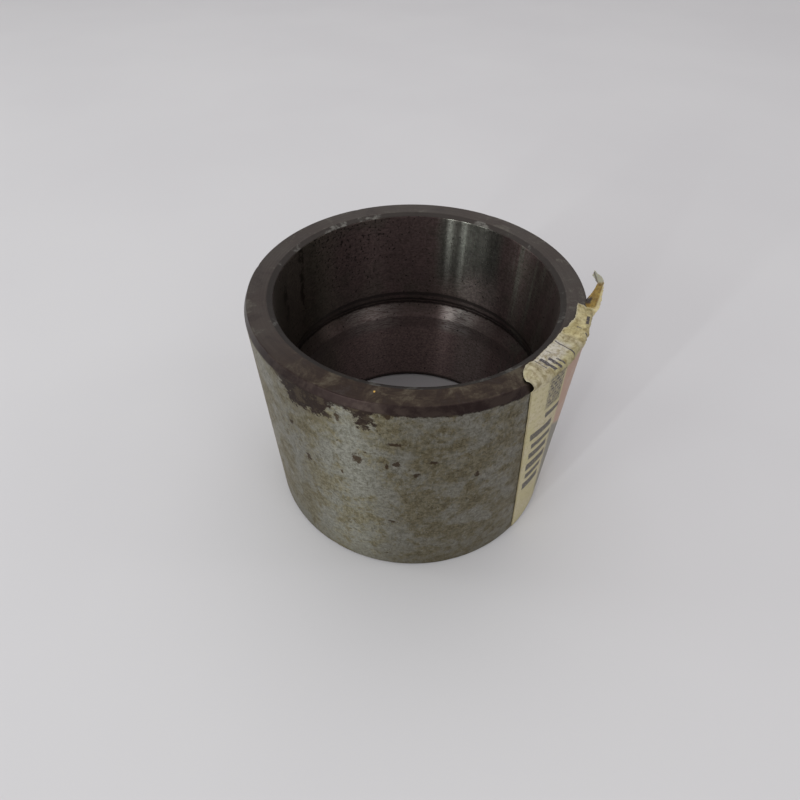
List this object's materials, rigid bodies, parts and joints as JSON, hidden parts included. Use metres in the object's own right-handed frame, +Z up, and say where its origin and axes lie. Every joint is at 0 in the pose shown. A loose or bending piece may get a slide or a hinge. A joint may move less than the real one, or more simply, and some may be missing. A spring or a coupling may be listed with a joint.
{
  "type": "plain bush",
  "caption": "Plain cylindrical steel bush with an internal grease groove, a lead-in chamfer and the torn remains of a paper parts label.",
  "frame": {"origin": "centre of the base face, on the axis of the bore", "axes": "+Z up the bore towards the end with the lead-in chamfer; the label is on the +X side"},
  "size_m": [0.0909, 0.09, 0.0814],
  "materials": {
    "steel": "ground, oily and stained",
    "label_paper": "yellowed matt paper"
  },
  "bodies": {
    "root": {"sleeve": "steel", "label": "label_paper", "torn_flap": "label_paper"}
  },
  "joints": []
}
